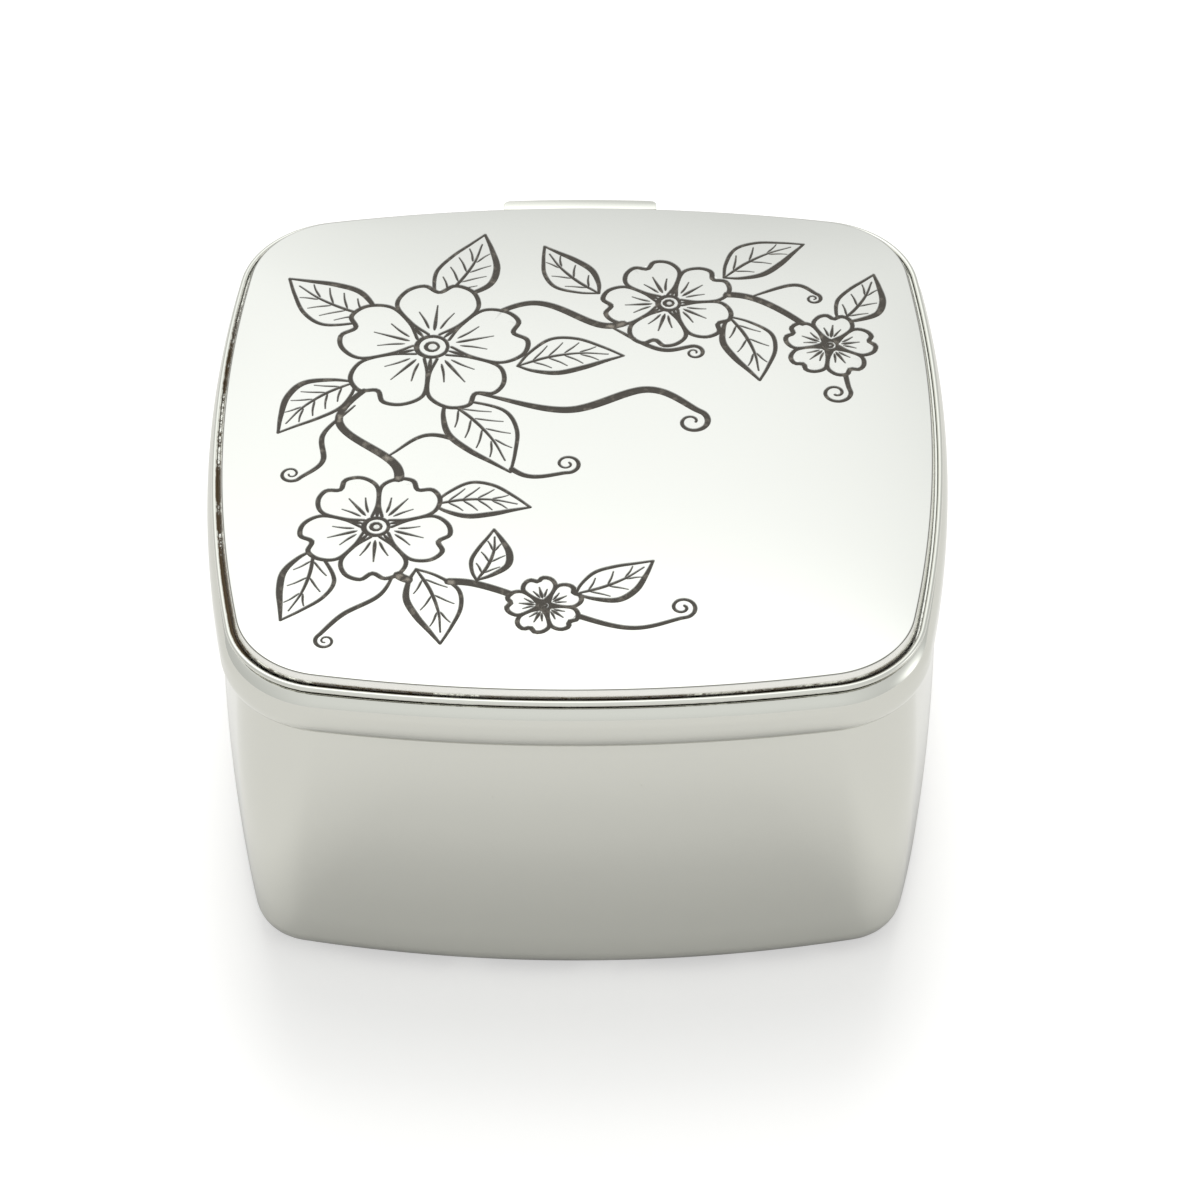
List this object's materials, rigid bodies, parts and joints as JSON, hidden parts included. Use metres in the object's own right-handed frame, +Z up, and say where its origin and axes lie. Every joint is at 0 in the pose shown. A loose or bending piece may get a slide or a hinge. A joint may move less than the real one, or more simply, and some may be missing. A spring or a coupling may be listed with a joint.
{
  "type": "keepsake box",
  "caption": "Small square polished-metal keepsake box with bowed sides, a hinged lid with a raised domed plate, and a velvet lining.",
  "frame": {"origin": "middle of the felt underside, on the surface the box stands on", "axes": "+Z up, -Y towards the front of the box, +Y towards the hinge, +X to the right seen from the front"},
  "size_m": [0.073, 0.074, 0.0408],
  "materials": {
    "polished_plating": "mirror-polished bright plating on a cast body",
    "engraved_plating": "polished bright plating, machine engraved, with fine polishing lines",
    "hinge_plating": "bright plated hinge leaves",
    "pin_steel": "drawn wire",
    "lining_velvet": "short-pile velvet",
    "lining_card": "grey backing card",
    "base_felt": "pressed felt"
  },
  "bodies": {
    "box": {"body_shell": "polished_plating", "base_felt": "base_felt", "floor_card": "lining_card", "floor_pad": "lining_velvet", "wall_lining": "lining_velvet", "hinge_body_leaf": "hinge_plating", "hinge_pin": "pin_steel"},
    "lid": {"lid_frame": "polished_plating", "lid_plate": "engraved_plating", "lid_card": "lining_card", "lid_pad": "lining_velvet", "hinge_lid_leaf": "hinge_plating"}
  },
  "joints": [
    {"name": "lid_hinge", "type": "hinge", "parent": "box", "child": "lid", "pos_m": [0, 0.036, 0.0365], "axis": [-1, 0, 0], "range_deg": [0, 100]}
  ]
}
